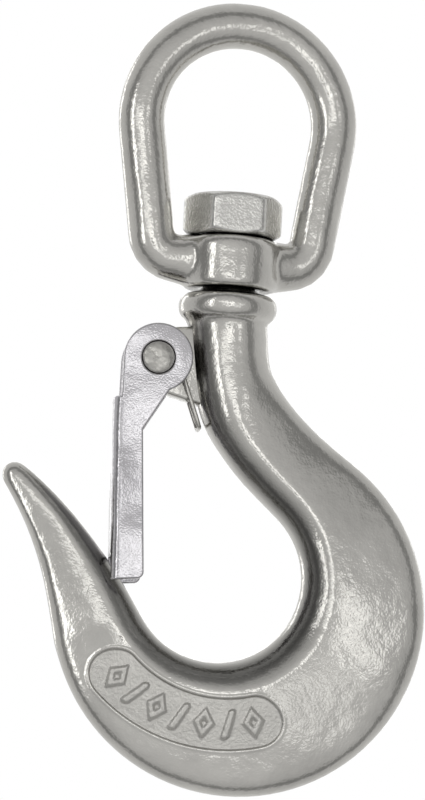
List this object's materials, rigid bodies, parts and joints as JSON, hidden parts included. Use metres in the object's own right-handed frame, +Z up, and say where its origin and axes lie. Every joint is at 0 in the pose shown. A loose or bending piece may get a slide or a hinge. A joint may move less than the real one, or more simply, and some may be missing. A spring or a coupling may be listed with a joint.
{
  "type": "swivel hook",
  "caption": "Cast stainless lifting hook that swivels on a nut-held shank in a round bar eye, with a sprung channel latch closing its mouth.",
  "frame": {"origin": "inside of the eye's crown on the swivel axis, where the hook hangs", "axes": "+Z up along the swivel axis, +X from the hook's tip to its back, +Y away from the side with the maker's panel"},
  "size_m": [0.0827, 0.0192, 0.1537],
  "materials": {
    "cast_body": "semi-bright tumbled investment casting",
    "cast_eye": "semi-bright tumbled forging",
    "nut_steel": "satin machined",
    "latch_sheet": "bright pressed sheet",
    "pin_steel": "matt peened end",
    "spring_wire": "drawn wire"
  },
  "bodies": {
    "eye": {"swivel_eye": "cast_eye"},
    "hook": {"hook_body": "cast_body", "swivel_nut": "nut_steel", "latch_pin": "pin_steel", "latch_spring": "spring_wire"},
    "latch": {"latch": "latch_sheet"}
  },
  "joints": [
    {"name": "hook_swivel", "type": "hinge", "parent": "eye", "child": "hook", "pos_m": [0, 0, -0.0425], "axis": [0, 0, 1], "continuous": true},
    {"name": "latch_pivot", "type": "hinge", "parent": "hook", "child": "latch", "pos_m": [-0.0131, 0, -0.0619], "axis": [0, -1, 0], "range_deg": [0, 42], "stiffness_Nm_per_rad": 0.12, "springref_deg": -28.65, "deforming": ["latch_spring"]}
  ]
}
